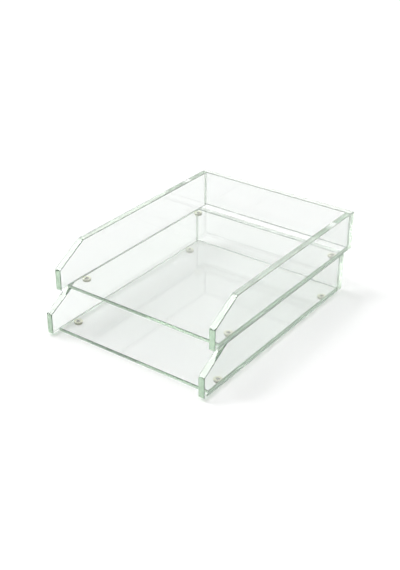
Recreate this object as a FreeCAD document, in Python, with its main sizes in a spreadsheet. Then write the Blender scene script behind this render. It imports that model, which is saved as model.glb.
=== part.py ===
import FreeCAD, Part

import os

import Sketcher

# Two clear acrylic letter trays, one stacked on the other, in millimetres.
# +Z is up and the open front faces -Y. The origin lies on the surface that the stack
# stands on, under the middle of its footprint.

doc = FreeCAD.newDocument("letter_tray_stack")

# ------------------------------------------------------------ driving dimensions

DIMENSIONS = (
    # alias, value, what it is
    ("tray_width", 266.7, "over the outer faces of the side panels"),
    ("tray_depth", 349.25, "side panels' front edges to the back panel's outer face"),
    ("side_height", 58.7, "side and back panels, bottom edge to top edge"),
    ("front_height", 30.9, "short upright edge at the front of a side panel"),
    ("slope_run", 49.2, "depth over which a side panel slopes up to its full height"),
    ("side_thickness", 9.525, "side panel sheet"),
    ("back_thickness", 9.525, "back panel sheet"),
    ("floor_thickness", 4.76, "floor sheet"),
    ("floor_setback", 12.7, "floor's front edge behind the side panels' front edges"),
    ("stack_setback", 22.2, "how much further back the upper tray stands"),
    ("foot_diameter", 12.7, "bumper foot at the face that is stuck on"),
    ("foot_draft", 0.5, "how far the foot's wall leans in towards its lower face"),
    ("foot_height", 3.5, "bumper foot without its adhesive"),
    ("foot_rim_round", 0.7, "rounded lower rim of the foot"),
    ("dimple_diameter", 3.4, "dimple in the middle of the foot's lower face"),
    ("dimple_depth", 0.9, "depth of that dimple"),
    ("adhesive_margin", 0.35, "foot's rim beyond the edge of its adhesive disc"),
    ("adhesive_thickness", 0.25, "adhesive disc"),
    ("foot_side_play", 0.3, "foot's rim to the inner face of the side panel beside it"),
    ("foot_back_play", 3.2, "upper rear foot's rim to the lower back panel"),
    ("front_foot_inset", 44.45, "front foot's axis behind the side panels' front edges"),
)

sizes = doc.addObject("Spreadsheet::Sheet", "sizes")
for row, (alias, value, meaning) in enumerate(DIMENSIONS, start=1):
    sizes.set(f"A{row}", alias)
    sizes.set(f"B{row}", str(value))
    sizes.set(f"C{row}", meaning)
    sizes.setAlias(f"B{row}", alias)
doc.recompute()

# ------------------------------------------------------------ shared expressions

BETWEEN_SIDES = "sizes.tray_width - 2 * sizes.side_thickness"
SIDE_DEPTH = "sizes.tray_depth - sizes.back_thickness"
FLOOR_DEPTH = f"{SIDE_DEPTH} - sizes.floor_setback"
STANDING_HEIGHT = "sizes.foot_height + sizes.adhesive_thickness"
STACK_FRONT = "-(sizes.tray_depth + sizes.stack_setback) / 2"

FOOT_RADIUS = "sizes.foot_diameter / 2"
TIP_RADIUS = f"{FOOT_RADIUS} - sizes.foot_draft"
ADHESIVE_RADIUS = f"{FOOT_RADIUS} - sizes.adhesive_margin"
FOOT_X = (
    "(sizes.tray_width / 2 - sizes.side_thickness - sizes.foot_side_play"
    f" - {FOOT_RADIUS})"
)
FRONT_FOOT_Y = "sizes.front_foot_inset"
# A rear foot of the upper tray drops in just ahead of the lower tray's back panel.
REAR_FOOT_Y = (
    f"{SIDE_DEPTH} - sizes.stack_setback - sizes.foot_back_play - {FOOT_RADIUS}"
)

# The front edges of each tray's side panels, and their bottom edges, which are level
# with the underside of the floor.
TRAYS = {
    "lower": (STACK_FRONT, STANDING_HEIGHT),
    "upper": (
        f"{STACK_FRONT} + sizes.stack_setback",
        f"{STANDING_HEIGHT} + sizes.side_height",
    ),
}

# ------------------------------------------------------------ building blocks

START, END = 1, 2
SKETCH_ORIGIN = -1
TOLERANCE = 1e-6


def amount(expression):
    """What an expression on the sheet comes to now."""
    return float(sizes.evalExpression(expression))


def place(piece, x, y, z):
    """Ties a piece's place to the sheet."""
    piece.setExpression(".Placement.Base.x", x)
    piece.setExpression(".Placement.Base.y", y)
    piece.setExpression(".Placement.Base.z", z)


def new_body(label):
    body = doc.addObject("PartDesign::Body", label)
    body.Label = label
    return body


def draw_outline(sketch, corners):
    """A closed outline through corners given as pairs of expressions.

    The first corner is the sketch's origin. Corners that share an expression are kept
    level or upright, so each distance from the origin is dimensioned once.
    """
    points = [FreeCAD.Vector(amount(x), amount(y), 0) for x, y in corners]
    count = len(corners)
    for edge in range(count):
        sketch.addGeometry(Part.LineSegment(points[edge], points[(edge + 1) % count]))
    sketch.addConstraint(
        Sketcher.Constraint("Coincident", 0, START, SKETCH_ORIGIN, START)
    )
    for edge in range(count):
        following = (edge + 1) % count
        sketch.addConstraint(
            Sketcher.Constraint("Coincident", edge, END, following, START)
        )
        if corners[edge][0] == corners[following][0]:
            sketch.addConstraint(Sketcher.Constraint("Vertical", edge))
        if corners[edge][1] == corners[following][1]:
            sketch.addConstraint(Sketcher.Constraint("Horizontal", edge))
    for axis, kind in enumerate(("DistanceX", "DistanceY")):
        settled = {"0"}
        for corner, position in enumerate(corners):
            expression = position[axis]
            if expression in settled:
                continue
            settled.add(expression)
            index = sketch.addConstraint(
                Sketcher.Constraint(
                    kind, SKETCH_ORIGIN, START, corner, START, amount(expression)
                )
            )
            sketch.setExpression(f"Constraints[{index}]", expression)


def sheet_panel(label, plane, corners, thickness):
    """A piece cut from flat sheet: its outline on a plane, padded to the thickness."""
    body = new_body(label)
    outline = body.newObject("Sketcher::SketchObject", f"{label}_outline")
    support = next(f for f in body.Origin.OriginFeatures if f.Role == plane)
    outline.AttachmentSupport = [(support, "")]
    outline.MapMode = "FlatFace"
    draw_outline(outline, corners)
    pad = body.newObject("PartDesign::Pad", f"{label}_sheet")
    pad.Profile = outline
    pad.setExpression("Length", thickness)
    return body


# ------------------------------------------------------------ the pieces of a tray


def floor_panel(label):
    return sheet_panel(
        label,
        "XY_Plane",
        (
            ("0", "0"),
            (BETWEEN_SIDES, "0"),
            (BETWEEN_SIDES, FLOOR_DEPTH),
            ("0", FLOOR_DEPTH),
        ),
        "sizes.floor_thickness",
    )


def side_panel(label):
    """Short upright edge at the front, then a slope up to the full height."""
    return sheet_panel(
        label,
        "YZ_Plane",
        (
            ("0", "0"),
            (SIDE_DEPTH, "0"),
            (SIDE_DEPTH, "sizes.side_height"),
            ("sizes.slope_run", "sizes.side_height"),
            ("0", "sizes.front_height"),
        ),
        "sizes.side_thickness",
    )


def back_panel(label):
    """Spans the full width, behind the rear ends of the side panels."""
    return sheet_panel(
        label,
        "XZ_Plane",
        (
            ("0", "0"),
            ("sizes.tray_width", "0"),
            ("sizes.tray_width", "sizes.side_height"),
            ("0", "sizes.side_height"),
        ),
        "sizes.back_thickness",
    )


def bumper_foot(label):
    """A drafted round bumper, its rim rounded and its lower face dimpled."""
    body = new_body(label)
    cone = body.newObject("PartDesign::AdditiveCone", f"{label}_cone")
    cone.setExpression("Radius1", TIP_RADIUS)
    cone.setExpression("Radius2", FOOT_RADIUS)
    cone.setExpression("Height", "sizes.foot_height")
    doc.recompute()

    rim = next(
        f"Edge{number}"
        for number, edge in enumerate(cone.Shape.Edges, start=1)
        if isinstance(edge.Curve, Part.Circle) and abs(edge.Curve.Center.z) < TOLERANCE
    )
    rounding = body.newObject("PartDesign::Fillet", f"{label}_rim")
    rounding.Base = (cone, [rim])
    rounding.setExpression("Radius", "sizes.foot_rim_round")
    doc.recompute()

    # A ball whose cap is as wide and as deep as the dimple.
    ball_radius = (
        "((sizes.dimple_diameter / 2) ^ 2 + sizes.dimple_depth ^ 2)"
        " / (2 * sizes.dimple_depth)"
    )
    dimple = body.newObject("PartDesign::SubtractiveSphere", f"{label}_dimple")
    dimple.setExpression("Radius", ball_radius)
    dimple.setExpression(
        ".Placement.Base.z", f"sizes.dimple_depth - {ball_radius}"
    )
    return body


def adhesive_disc(label):
    disc = doc.addObject("Part::Cylinder", label)
    disc.Label = label
    disc.setExpression("Radius", ADHESIVE_RADIUS)
    disc.setExpression("Height", "sizes.adhesive_thickness")
    return disc


# ------------------------------------------------------------ assembly

pieces = []


def add_piece(piece, x, y, z):
    place(piece, x, y, z)
    pieces.append(piece)


def add_tray(tray, front, bottom):
    """The floor, two sides and back of one tray, and its four stuck-on feet."""
    left = "-sizes.tray_width / 2"
    add_piece(
        floor_panel(f"{tray}_floor"),
        f"{left} + sizes.side_thickness",
        f"{front} + sizes.floor_setback",
        bottom,
    )
    add_piece(side_panel(f"{tray}_left_side"), left, front, bottom)
    add_piece(
        side_panel(f"{tray}_right_side"),
        "sizes.tray_width / 2 - sizes.side_thickness",
        front,
        bottom,
    )
    # Padded towards the front, so its outline is the outer face.
    add_piece(back_panel(f"{tray}_back"), left, f"{front} + sizes.tray_depth", bottom)

    for end, foot_y in (("front", FRONT_FOOT_Y), ("rear", REAR_FOOT_Y)):
        for side, sign in (("left", "-"), ("right", "")):
            name = f"{tray}_{end}_{side}_foot"
            foot_x = f"{sign}{FOOT_X}"
            adhesive_z = f"{bottom} - sizes.adhesive_thickness"
            add_piece(
                adhesive_disc(f"{name}_adhesive"), foot_x, f"{front} + {foot_y}", adhesive_z
            )
            add_piece(
                bumper_foot(name),
                foot_x,
                f"{front} + {foot_y}",
                f"{adhesive_z} - sizes.foot_height",
            )


for tray, (front, bottom) in TRAYS.items():
    add_tray(tray, front, bottom)
doc.recompute()

# ------------------------------------------------------------ checks and export

for obj in doc.Objects:
    if {"Invalid", "Error"} & set(obj.State):
        raise RuntimeError(f"{obj.Label} didn't build: {obj.State}")
for piece in pieces:
    if piece.Shape.isNull() or not piece.Shape.isValid():
        raise RuntimeError(f"{piece.Label} has no valid shape")

os.makedirs("parts", exist_ok=True)
for piece in pieces:
    piece.Shape.exportStep(f"parts/{piece.Label}.step")
print(f"{len(pieces)} pieces written")
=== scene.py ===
"""Looks of two stacked clear acrylic letter trays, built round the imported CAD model.

Everything is in metres and in the model's own frame: +Z is up and the open front
faces -Y.
"""

import math

import bmesh
import bpy
from mathutils import Matrix, Vector


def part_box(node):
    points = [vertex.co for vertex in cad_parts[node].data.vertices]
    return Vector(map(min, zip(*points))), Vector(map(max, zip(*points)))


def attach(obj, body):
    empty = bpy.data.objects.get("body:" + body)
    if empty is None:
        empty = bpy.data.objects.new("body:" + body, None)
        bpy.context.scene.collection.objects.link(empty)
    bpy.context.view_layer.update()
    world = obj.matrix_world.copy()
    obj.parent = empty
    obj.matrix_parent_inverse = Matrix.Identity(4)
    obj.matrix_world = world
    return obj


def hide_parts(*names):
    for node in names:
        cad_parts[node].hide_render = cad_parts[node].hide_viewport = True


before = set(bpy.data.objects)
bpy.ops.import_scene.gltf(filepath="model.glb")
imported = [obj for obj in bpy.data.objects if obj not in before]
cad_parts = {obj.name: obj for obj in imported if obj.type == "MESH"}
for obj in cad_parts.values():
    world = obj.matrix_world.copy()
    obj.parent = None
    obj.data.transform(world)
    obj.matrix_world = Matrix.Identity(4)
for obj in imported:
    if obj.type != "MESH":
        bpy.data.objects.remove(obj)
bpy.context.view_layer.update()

MM = 0.001

# ------------------------------------------------------------ sizes, as in the CAD

TRAYS = {"lower": "lower_tray", "upper": "upper_tray"}

FRONT_HEIGHT = 30.9 * MM
SLOPE_RUN = 49.2 * MM

FOOT_RADIUS = 6.35 * MM
FOOT_DRAFT = 0.5 * MM
FOOT_RIM_ROUND = 0.7 * MM
DIMPLE_RADIUS = 1.7 * MM
DIMPLE_DEPTH = 0.9 * MM
HOLLOW_SHADE_RADIUS = 2.9 * MM  # radius of the painted shade that stands for the dimple, seen down through the foot

# Details that are finer than the CAD.
HAIRLINE = 0.02 * MM  # each piece's faces stand back by this, so that no two coincide
EDGE_ROUND = 0.7 * MM  # rounding of a sheet's free edges
FOOT_TOP_ROUND = 0.15 * MM
DISC_ROUND = 0.08 * MM
BEVEL_STEPS = 3
LATHE_STEPS = 72
ARC_STEPS = 6
CREASE_ANGLE = math.radians(40)  # a round piece's sharper edges stay sharp

# Tests on a face or a point. A direction is tested by a component of its unit normal.
FLATNESS = 0.001 * MM  # how far a flat face may be off its sheet's plane
ON_AXIS = 1e-7  # radius in metres below which a profile's point is on the axis
SAME_DIRECTION = 0.9999
ALIGNED = 0.99
BOTTOM_EDGE = -0.5
ROUNDED_UNDER = -0.2
FOOT_WALL = 0.9

# How much of the painted dark outline shade a face takes.
ROUNDING_SHADE = 1.0
ROUNDED_UNDER_SHADE = 0.1
LEVEL_EDGE_SHADE = 0.12

# ------------------------------------------------------------ the photograph's view

PHOTO_LONG_SIDE = 570  # pixels
SENSOR = 36.0  # millimetres along the long side
FOCAL_PIXELS = 1018.9
VIEW_AZIMUTH = math.radians(35.954)
VIEW_ELEVATION = math.radians(29.464)
VIEW_ROLL = math.radians(0.154)
VIEW_TARGET = Vector((20.22 * MM, -39.56 * MM, 63.75 * MM))
VIEW_DISTANCE = 1406.4 * MM

X, Y, Z = range(3)


# ------------------------------------------------------------ meshes


def linked(name, mesh):
    """A new object for the mesh, in the scene."""
    piece = bpy.data.objects.new(name, mesh)
    bpy.context.scene.collection.objects.link(piece)
    return piece


def is_flat(face, planes):
    """True if the face lies in one of the sheet's own planes, and isn't a rounding."""
    middle = face.calc_center_median()
    return any(
        face.normal.dot(normal) > SAME_DIRECTION
        and abs(middle.dot(normal) - level) < FLATNESS
        for normal, level in planes
    )


def sheet(name, corners, across, glued):
    """A panel cut from flat sheet, with its free edges rounded over.

    corners is its outline at the near and at the far face. across is the axis of its
    thickness. glued(middle) says whether an edge or a cut face with its middle there is
    hidden in a cemented joint.

    Each face says how much it is a cut edge, a bottom edge left as sawn, an end in a
    cemented joint, and how much painted shade it takes: dark outlines on roundings.
    """
    bm = bmesh.new()
    near, far = ([bm.verts.new(p) for p in ring] for ring in corners)
    bm.faces.new(near)
    bm.faces.new(list(reversed(far)))
    count = len(near)
    for i in range(count):
        j = (i + 1) % count
        bm.faces.new((near[j], near[i], far[i], far[j]))
    bmesh.ops.recalc_face_normals(bm, faces=bm.faces)
    bm.normal_update()
    planes = [(f.normal.copy(), f.calc_center_median().dot(f.normal)) for f in bm.faces]
    free = [e for e in bm.edges if not glued((e.verts[0].co + e.verts[1].co) / 2)]
    bmesh.ops.bevel(
        bm,
        geom=free,
        offset=EDGE_ROUND,
        offset_type="OFFSET",
        segments=BEVEL_STEPS,
        profile=0.5,
        affect="EDGES",
        clamp_overlap=True,
    )
    bm.normal_update()

    # The flats keep their own normals right up to their borders, and the roundings
    # turn from one flat to the next.
    cut = bm.faces.layers.float.new("cut_edge")
    sawn = bm.faces.layers.float.new("as_sawn")
    outline_shade = bm.faces.layers.float.new("outline_shade")
    cemented = bm.faces.layers.float.new("cemented")
    flats = {f for f in bm.faces if is_flat(f, planes)}
    normals = []
    for face in bm.faces:
        face.smooth = True
        face[cut] = 0.0 if abs(face.normal[across]) > ALIGNED else 1.0
        flat_cut = face in flats and face[cut]
        in_joint = flat_cut and glued(face.calc_center_median())
        face[sawn] = 1.0 if flat_cut and face.normal.z < BOTTOM_EDGE else 0.0
        face[cemented] = 1.0 if in_joint else 0.0
        # Painted shade: roundings take a dark outline, less on the underside, and level
        # top edges a faint one.
        if face not in flats:
            over = face.normal.z > ROUNDED_UNDER
            face[outline_shade] = ROUNDING_SHADE if over else ROUNDED_UNDER_SHADE
        elif flat_cut and face.normal.z > ALIGNED:
            face[outline_shade] = LEVEL_EDGE_SHADE
        for loop in face.loops:
            beside = [f for f in loop.vert.link_faces if f in flats]
            if face in flats:
                normal = face.normal
            elif len(beside) == 1:
                normal = beside[0].normal
            else:
                around = [f for f in loop.vert.link_faces if f not in flats]
                normal = sum((f.normal * f.calc_area() for f in around), Vector())
            normals.append(normal.normalized())
    mesh = bpy.data.meshes.new(name)
    bm.to_mesh(mesh)
    bm.free()
    mesh.normals_split_custom_set(normals)
    return linked(name, mesh)


def panel_box(node):
    """The node's box, drawn in by the hairline."""
    low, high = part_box(node)
    inset = Vector((HAIRLINE, HAIRLINE, HAIRLINE))
    return low + inset, high - inset


def side_panel(name, node):
    low, high = panel_box(node)
    outline = (
        (low.y, low.z),
        (high.y, low.z),
        (high.y, high.z),
        (low.y + SLOPE_RUN, high.z),
        (low.y, low.z + FRONT_HEIGHT),
    )
    corners = [[Vector((x, y, z)) for y, z in outline] for x in (low.x, high.x)]
    return sheet(name, corners, X, lambda middle: middle.y > high.y - EDGE_ROUND)


def floor_panel(name, node):
    low, high = panel_box(node)
    outline = ((low.x, low.y), (high.x, low.y), (high.x, high.y), (low.x, high.y))
    corners = [[Vector((x, y, z)) for x, y in outline] for z in (low.z, high.z)]
    front = low.y + EDGE_ROUND

    def glued(middle):
        return middle.y > front or not low.x + EDGE_ROUND < middle.x < high.x - EDGE_ROUND

    return sheet(name, corners, Z, glued)


def back_panel(name, node):
    low, high = panel_box(node)
    outline = ((low.x, low.z), (high.x, low.z), (high.x, high.z), (low.x, high.z))
    corners = [[Vector((x, y, z)) for x, z in outline] for y in (low.y, high.y)]

    def glued(middle):
        at_end = not low.x + EDGE_ROUND < middle.x < high.x - EDGE_ROUND
        return at_end and middle.y < low.y + EDGE_ROUND

    return sheet(name, corners, Y, glued)


def arc(centre, radius, start, end):
    """Points (radius from the axis, height) on an arc, angles in degrees."""
    points = []
    for i in range(ARC_STEPS + 1):
        angle = math.radians(start + (end - start) * i / ARC_STEPS)
        points.append(
            (centre[0] + radius * math.cos(angle), centre[1] + radius * math.sin(angle))
        )
    return points


def lathe(name, profile, centre):
    """A closed round body: the profile goes from the axis out, down and back to it.

    Each face says whether it takes painted shade, as a foot's hollow seen from above or
    as its wall. Only the bumper's material reads that.
    """
    bm = bmesh.new()
    rings = []
    for radius, height in profile:
        if radius < ON_AXIS:
            rings.append([bm.verts.new(centre + Vector((0, 0, height)))])
            continue
        ring = []
        for i in range(LATHE_STEPS):
            angle = math.tau * i / LATHE_STEPS
            around = Vector((radius * math.cos(angle), radius * math.sin(angle), height))
            ring.append(bm.verts.new(centre + around))
        rings.append(ring)
    for upper, lower in zip(rings, rings[1:]):
        for i in range(LATHE_STEPS):
            j = (i + 1) % LATHE_STEPS
            if len(upper) == 1:
                bm.faces.new((upper[0], lower[i], lower[j]))
            elif len(lower) == 1:
                bm.faces.new((upper[i], lower[0], upper[j]))
            else:
                bm.faces.new((upper[i], lower[i], lower[j], upper[j]))
    bmesh.ops.recalc_face_normals(bm, faces=bm.faces)
    hollow_shade = bm.faces.layers.float.new("hollow_shade")
    wall = bm.faces.layers.float.new("wall")
    # Painted shade: faces inside the shade radius, the top face's middle too, take the
    # hollow's dark; steep faces outside it take the wall's.
    for face in bm.faces:
        face.smooth = True
        from_axis = (face.calc_center_median() - centre).xy.length
        face[hollow_shade] = 1.0 if from_axis < HOLLOW_SHADE_RADIUS else 0.0
        steep = abs(face.normal.z) < FOOT_WALL
        face[wall] = 1.0 if steep and not face[hollow_shade] else 0.0
    mesh = bpy.data.meshes.new(name)
    bm.to_mesh(mesh)
    bm.free()
    mesh.set_sharp_from_angle(angle=CREASE_ANGLE)
    return linked(name, mesh)


def bumper_foot(name, node):
    """A drafted bumper with a rounded rim and a dimple in its lower face."""
    low, high = panel_box(node)
    height = high.z - low.z
    base = FOOT_RADIUS - HAIRLINE
    tip = base - FOOT_DRAFT
    lean = math.degrees(math.atan2(FOOT_DRAFT, height))
    rim_centre = (tip - FOOT_RIM_ROUND, FOOT_RIM_ROUND)
    ball = (DIMPLE_RADIUS**2 + DIMPLE_DEPTH**2) / (2 * DIMPLE_DEPTH)
    reach = math.degrees(math.asin(DIMPLE_RADIUS / ball))
    profile = [(0.0, height), (HOLLOW_SHADE_RADIUS, height)]
    profile += arc(
        (base - FOOT_TOP_ROUND, height - FOOT_TOP_ROUND), FOOT_TOP_ROUND, 90, -lean
    )
    profile += arc(rim_centre, FOOT_RIM_ROUND, -lean, -90)
    profile += arc((0.0, DIMPLE_DEPTH - ball), ball, 90 - reach, 90)
    profile[-1] = (0.0, DIMPLE_DEPTH)
    middle = (low + high) / 2
    return lathe(name, profile, Vector((middle.x, middle.y, low.z)))


def adhesive_disc(name, node):
    """The thin disc of clear adhesive that holds a foot, its rim pressed round."""
    low, high = panel_box(node)
    height = high.z - low.z
    radius = (high.x - low.x) / 2
    profile = [(0.0, height)]
    profile += arc((radius - DISC_ROUND, height - DISC_ROUND), DISC_ROUND, 90, 0)
    profile += arc((radius - DISC_ROUND, DISC_ROUND), DISC_ROUND, 0, -90)
    profile.append((0.0, 0.0))
    middle = (low + high) / 2
    return lathe(name, profile, Vector((middle.x, middle.y, low.z)))


# ------------------------------------------------------------ materials


# Where the Mix node keeps the sockets for colours.
MIX_COLORS = slice(6, 8)
MIX_RESULT = 2


class Nodes:
    """A node tree under construction."""

    def __init__(self, tree):
        self.tree = tree
        self.tree.nodes.clear()

    def feed(self, socket, value):
        """Sets the socket to a plain value, or links another node's output to it."""
        if isinstance(value, bpy.types.NodeSocket):
            self.tree.links.new(value, socket)
        else:
            socket.default_value = value

    def add(self, kind, **values):
        """A new node, its inputs fed by name with underscores for spaces."""
        node = self.tree.nodes.new(kind)
        for key, value in values.items():
            self.feed(node.inputs[key.replace("_", " ")], value)
        return node

    def math(self, operation, a, b):
        node = self.tree.nodes.new("ShaderNodeMath")
        node.operation = operation
        for socket, value in zip(node.inputs, (a, b)):
            self.feed(socket, value)
        return node.outputs[0]

    def ramp(self, value, low, high, to_low, to_high):
        """The value taken from one range to another, and kept inside it."""
        node = self.tree.nodes.new("ShaderNodeMapRange")
        node.clamp = True
        self.tree.links.new(value, node.inputs["Value"])
        node.inputs["From Min"].default_value = low
        node.inputs["From Max"].default_value = high
        node.inputs["To Min"].default_value = to_low
        node.inputs["To Max"].default_value = to_high
        return node.outputs["Result"]

    def attribute(self, name):
        node = self.tree.nodes.new("ShaderNodeAttribute")
        node.attribute_name = name
        return node.outputs["Fac"]

    def mix(self, factor, first, second):
        """From the first colour to the second."""
        node = self.tree.nodes.new("ShaderNodeMix")
        node.data_type = "RGBA"
        self.tree.links.new(factor, node.inputs["Factor"])
        for socket, value in zip(node.inputs[MIX_COLORS], (first, second)):
            self.feed(socket, value)
        return node.outputs[MIX_RESULT]

    def noise(self, scale, detail=2.0, stretch=(1, 1, 1)):
        """Noise in the piece's own coordinates, so it moves with the piece."""
        place = self.tree.nodes.new("ShaderNodeTexCoord")
        mapping = self.add("ShaderNodeMapping", Vector=place.outputs["Object"])
        mapping.inputs["Scale"].default_value = stretch
        node = self.add(
            "ShaderNodeTexNoise", Vector=mapping.outputs[0], Scale=scale, Detail=detail
        )
        return node.outputs["Fac"]


def new_material(name):
    material = bpy.data.materials.new(name)
    material.use_nodes = True
    return material, Nodes(material.node_tree)


ACRYLIC_IOR = 1.491
THICK_TINT = (0.895, 0.908, 0.90, 1.0)  # the faces of the side and back sheets
THIN_TINT = (0.945, 0.953, 0.948, 1.0)  # the faces of the floor sheet
EDGE_TINT = (0.98, 0.99, 0.98, 1.0)
OUTLINE_SHADE_TINT = (0.04, 0.07, 0.04, 1.0)  # painted shade: dark outlines on roundings and level top edges
CEMENT_TINT = (0.7, 0.82, 0.72, 1.0)
ACRYLIC_ABSORBS = (0.10, 0.90, 0.05, 1.0)
ACRYLIC_DENSITY = 0.55  # per metre

FACE_ROUGHNESS = 0.005
EDGE_ROUGHNESS = 0.02
SAWN_ROUGHNESS = 0.1  # added on bottom edges
CEMENT_ROUGHNESS = 0.5  # added on ends in a cemented joint

# Noise scales are per metre, and bump heights are in metres.
WAVE_SCALE = 9.0
WAVE_HEIGHT = 0.00001
MARKS_SCALE = 600.0
MARKS_STRETCH = 0.1  # of that scale along the marks, which makes them long
MARKS_HEIGHT = 0.000003
HAZE_SCALE = 60.0
HAZE_NOISE = (0.35, 0.7)  # this part of the noise's range gives the spread below
HAZE_SPREAD = (0.8, 1.2)  # of the roughness


def clear_acrylic(name, across, tint):
    """Clear cast acrylic, green through its depth.

    Its faces are as cast, with a slow faint waviness. Its cut edges carry fine cutter
    marks that run across the sheet, and its bottom edges and cemented ends are rougher.
    Its roundings carry painted dark shade as outlines, and its level top edges a little.
    """
    material, nodes = new_material(name)
    on_edge = nodes.attribute("cut_edge")
    as_sawn = nodes.attribute("as_sawn")
    cemented = nodes.attribute("cemented")

    marks_stretch = [1.0, 1.0, 1.0]
    marks_stretch[across] = MARKS_STRETCH
    marks = nodes.noise(MARKS_SCALE, 2.0, marks_stretch)
    haze = nodes.noise(HAZE_SCALE, 3.0)
    waves = nodes.noise(WAVE_SCALE, 1.0)

    spread = nodes.ramp(haze, *HAZE_NOISE, *HAZE_SPREAD)
    finish = nodes.math(
        "ADD",
        nodes.ramp(on_edge, 0.0, 1.0, FACE_ROUGHNESS, EDGE_ROUGHNESS),
        nodes.math("MULTIPLY", as_sawn, SAWN_ROUGHNESS),
    )
    joint_haze = nodes.math("MULTIPLY", cemented, CEMENT_ROUGHNESS)
    roughness = nodes.math("ADD", nodes.math("MULTIPLY", finish, spread), joint_haze)
    height = nodes.math(
        "ADD",
        nodes.math("MULTIPLY", waves, WAVE_HEIGHT),
        nodes.math("MULTIPLY", nodes.math("MULTIPLY", marks, MARKS_HEIGHT), on_edge),
    )
    bump = nodes.add("ShaderNodeBump", Height=height, Strength=1.0, Distance=1.0)
    color = nodes.mix(on_edge, tint, EDGE_TINT)
    # Painted shade: the dark outline colour mixed in on roundings and level top edges.
    color = nodes.mix(nodes.attribute("outline_shade"), color, OUTLINE_SHADE_TINT)
    color = nodes.mix(cemented, color, CEMENT_TINT)
    shader = nodes.add(
        "ShaderNodeBsdfPrincipled",
        Base_Color=color,
        Roughness=roughness,
        IOR=ACRYLIC_IOR,
        Transmission_Weight=1.0,
        Normal=bump.outputs[0],
    )
    depth = nodes.add(
        "ShaderNodeVolumeAbsorption", Color=ACRYLIC_ABSORBS, Density=ACRYLIC_DENSITY
    )
    nodes.add(
        "ShaderNodeOutputMaterial", Surface=shader.outputs[0], Volume=depth.outputs[0]
    )
    return material


NOISE_MIDDLE = (0.3, 0.7)  # this part of a noise's range gives a roughness range

BUMPER_IOR = 1.5
BUMPER_CLEARNESS = 0.1
BUMPER_COLOR = (1.0, 0.99, 0.80, 1.0)
# Painted shade: a dark outline on the foot's wall and a near-black disc for its hollow.
BUMPER_WALL_SHADE = (0.22, 0.24, 0.14, 1.0)
BUMPER_HOLLOW_SHADE = (0.005, 0.008, 0.004, 1.0)
BUMPER_ROUGHNESS = (0.02, 0.06)
BUMPER_SKIN_SCALE = 2500.0
BUMPER_SKIN_HEIGHT = 0.00004
BUMPER_CLOUD_SCALE = 220.0


def clear_bumper():
    """Soft polyurethane with a fine moulded skin, as a clear foot looks from above.

    It is mostly opaque and cream, with painted shade on its wall and over its hollow.
    """
    material, nodes = new_material("clear_bumper_polyurethane")
    skin = nodes.noise(BUMPER_SKIN_SCALE, 2.0)
    cloud = nodes.noise(BUMPER_CLOUD_SCALE, 2.0)
    bump = nodes.add(
        "ShaderNodeBump", Height=skin, Strength=0.15, Distance=BUMPER_SKIN_HEIGHT
    )
    # Painted shade mixed into the cream: the darker wall, then the dark hollow.
    color = nodes.mix(nodes.attribute("wall"), BUMPER_COLOR, BUMPER_WALL_SHADE)
    color = nodes.mix(nodes.attribute("hollow_shade"), color, BUMPER_HOLLOW_SHADE)
    shader = nodes.add(
        "ShaderNodeBsdfPrincipled",
        Base_Color=color,
        Roughness=nodes.ramp(cloud, *NOISE_MIDDLE, *BUMPER_ROUGHNESS),
        IOR=BUMPER_IOR,
        Transmission_Weight=BUMPER_CLEARNESS,
        Normal=bump.outputs[0],
    )
    nodes.add("ShaderNodeOutputMaterial", Surface=shader.outputs[0])
    return material


ADHESIVE_IOR = 1.47
ADHESIVE_CLEARNESS = 0.95
ADHESIVE_COLOR = (0.99, 0.99, 0.95, 1.0)
ADHESIVE_ROUGHNESS = (0.04, 0.14)
ADHESIVE_SCALE = 500.0
ADHESIVE_HEIGHT = 0.00005


def foot_adhesive():
    """Clear pressure-sensitive adhesive, faintly uneven where it has wetted out."""
    material, nodes = new_material("clear_foot_adhesive")
    spread = nodes.noise(ADHESIVE_SCALE, 3.0)
    bump = nodes.add(
        "ShaderNodeBump", Height=spread, Strength=0.3, Distance=ADHESIVE_HEIGHT
    )
    shader = nodes.add(
        "ShaderNodeBsdfPrincipled",
        Base_Color=ADHESIVE_COLOR,
        Roughness=nodes.ramp(spread, *NOISE_MIDDLE, *ADHESIVE_ROUGHNESS),
        IOR=ADHESIVE_IOR,
        Transmission_Weight=ADHESIVE_CLEARNESS,
        Normal=bump.outputs[0],
    )
    nodes.add("ShaderNodeOutputMaterial", Surface=shader.outputs[0])
    return material


# ------------------------------------------------------------ the pieces


def add_piece(build, name, node, body, material):
    """Builds the piece that stands for a CAD node."""
    piece = build(name, node)
    piece.data.materials.append(material)
    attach(piece, body)
    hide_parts(node)


side_acrylic = clear_acrylic("clear_acrylic_sides", X, THICK_TINT)
back_acrylic = clear_acrylic("clear_acrylic_backs", Y, THICK_TINT)
floor_acrylic = clear_acrylic("clear_acrylic_floors", Z, THIN_TINT)
bumper = clear_bumper()
adhesive = foot_adhesive()

for tray, body in TRAYS.items():
    panels = (
        (side_panel, "left_side", side_acrylic),
        (side_panel, "right_side", side_acrylic),
        (back_panel, "back", back_acrylic),
        (floor_panel, "floor", floor_acrylic),
    )
    for build, part, material in panels:
        node = f"{tray}_{part}"
        add_piece(build, f"{node}_panel", node, body, material)
    for corner in ("front_left", "front_right", "rear_left", "rear_right"):
        foot = f"{tray}_{corner}_foot"
        disc = f"{foot}_adhesive"
        add_piece(bumper_foot, f"{foot}_bumper", foot, body, bumper)
        add_piece(adhesive_disc, f"{disc}_disc", disc, body, adhesive)


# ------------------------------------------------------------ floor, light and camera

TABLE_HALF = 8.0  # metres
TABLE_DROP = 0.02 * MM  # below the feet, so that no two faces coincide
TABLE_COLOR = (0.9, 0.9, 0.9, 1.0)

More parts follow.
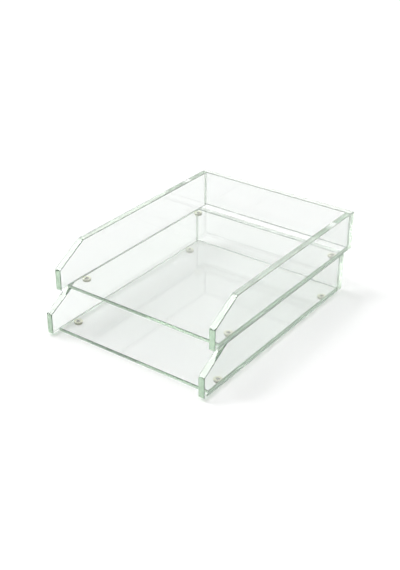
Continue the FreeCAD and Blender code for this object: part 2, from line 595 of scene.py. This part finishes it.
# The tent's light goes from the horizon's to the zenith's over the first range, taken
# on the upward part of the direction. The back wall adds its own over the second range,
# taken on the backward part.
HORIZON_LIGHT = 1.0
ZENITH_LIGHT = 0.61
TENT_RANGE = (0.0, 0.8)
WALL_LIGHT = 0.5
WALL_RANGE = (0.1, 0.8)

# The key light is full inside the first angle and none past the second.
KEY_LIGHT = 13.0
KEY_DIRECTION = Vector((-0.51, -0.06, 0.86))
KEY_ANGLES = (math.radians(7), math.radians(14))


def table():
    """A plain pale surface, larger than any view of the stack shows."""
    bm = bmesh.new()
    corners = [
        bm.verts.new((TABLE_HALF * i, TABLE_HALF * j, -TABLE_DROP))
        for i, j in ((-1, -1), (1, -1), (1, 1), (-1, 1))
    ]
    bm.faces.new(corners)
    mesh = bpy.data.meshes.new("table")
    bm.to_mesh(mesh)
    bm.free()
    material, nodes = new_material("pale_table")
    shader = nodes.add("ShaderNodeBsdfDiffuse", Color=TABLE_COLOR)
    nodes.add("ShaderNodeOutputMaterial", Surface=shader.outputs[0])
    mesh.materials.append(material)
    linked("table", mesh)


def studio_light():
    """A bright white tent with a brighter back wall, and a small key high on the left."""
    world = bpy.data.worlds.new("studio")
    world.use_nodes = True
    bpy.context.scene.world = world
    nodes = Nodes(world.node_tree)
    place = nodes.tree.nodes.new("ShaderNodeTexCoord")
    direction = place.outputs["Generated"]
    parts = nodes.add("ShaderNodeSeparateXYZ", Vector=direction)
    tent = nodes.ramp(parts.outputs["Z"], *TENT_RANGE, HORIZON_LIGHT, ZENITH_LIGHT)
    towards = nodes.tree.nodes.new("ShaderNodeVectorMath")
    towards.operation = "DOT_PRODUCT"
    nodes.tree.links.new(direction, towards.inputs[0])
    towards.inputs[1].default_value = KEY_DIRECTION.normalized()
    near, far = (math.cos(angle) for angle in KEY_ANGLES)
    key = nodes.ramp(towards.outputs["Value"], far, near, 0.0, KEY_LIGHT)
    key.node.interpolation_type = "SMOOTHSTEP"
    wall = nodes.ramp(parts.outputs["Y"], *WALL_RANGE, 0.0, WALL_LIGHT)
    light = nodes.add(
        "ShaderNodeBackground",
        Color=(1.0, 1.0, 1.0, 1.0),
        Strength=nodes.math("ADD", nodes.math("ADD", tent, wall), key),
    )
    nodes.add("ShaderNodeOutputWorld", Surface=light.outputs[0])


def photo_camera():
    """The camera where the photograph's stood."""
    data = bpy.data.cameras.new("photo_camera")
    data.sensor_width = SENSOR
    data.lens = FOCAL_PIXELS * SENSOR / PHOTO_LONG_SIDE
    data.clip_start = 0.01
    data.clip_end = 100.0
    camera = bpy.data.objects.new("photo_camera", data)
    bpy.context.scene.collection.objects.link(camera)
    a, e = VIEW_AZIMUTH, VIEW_ELEVATION
    back = Vector((math.sin(a) * math.cos(e), -math.cos(a) * math.cos(e), math.sin(e)))
    level = Vector((math.cos(a), math.sin(a), 0.0))
    upright = back.cross(level)
    right = math.cos(VIEW_ROLL) * level + math.sin(VIEW_ROLL) * upright
    up = math.cos(VIEW_ROLL) * upright - math.sin(VIEW_ROLL) * level
    turn = Matrix((right, up, back)).transposed()
    place = Matrix.Translation(VIEW_TARGET + back * VIEW_DISTANCE)
    camera.matrix_world = place @ turn.to_4x4()
    bpy.context.scene.camera = camera


table()
studio_light()
photo_camera()

scene = bpy.context.scene
scene.view_settings.view_transform = "Standard"
scene.cycles.max_bounces = 64
scene.cycles.transmission_bounces = 64
scene.cycles.glossy_bounces = 32
scene.cycles.diffuse_bounces = 4
scene.cycles.blur_glossy = 0.0
scene.cycles.transparent_max_bounces = 32
scene.cycles.use_denoising = True
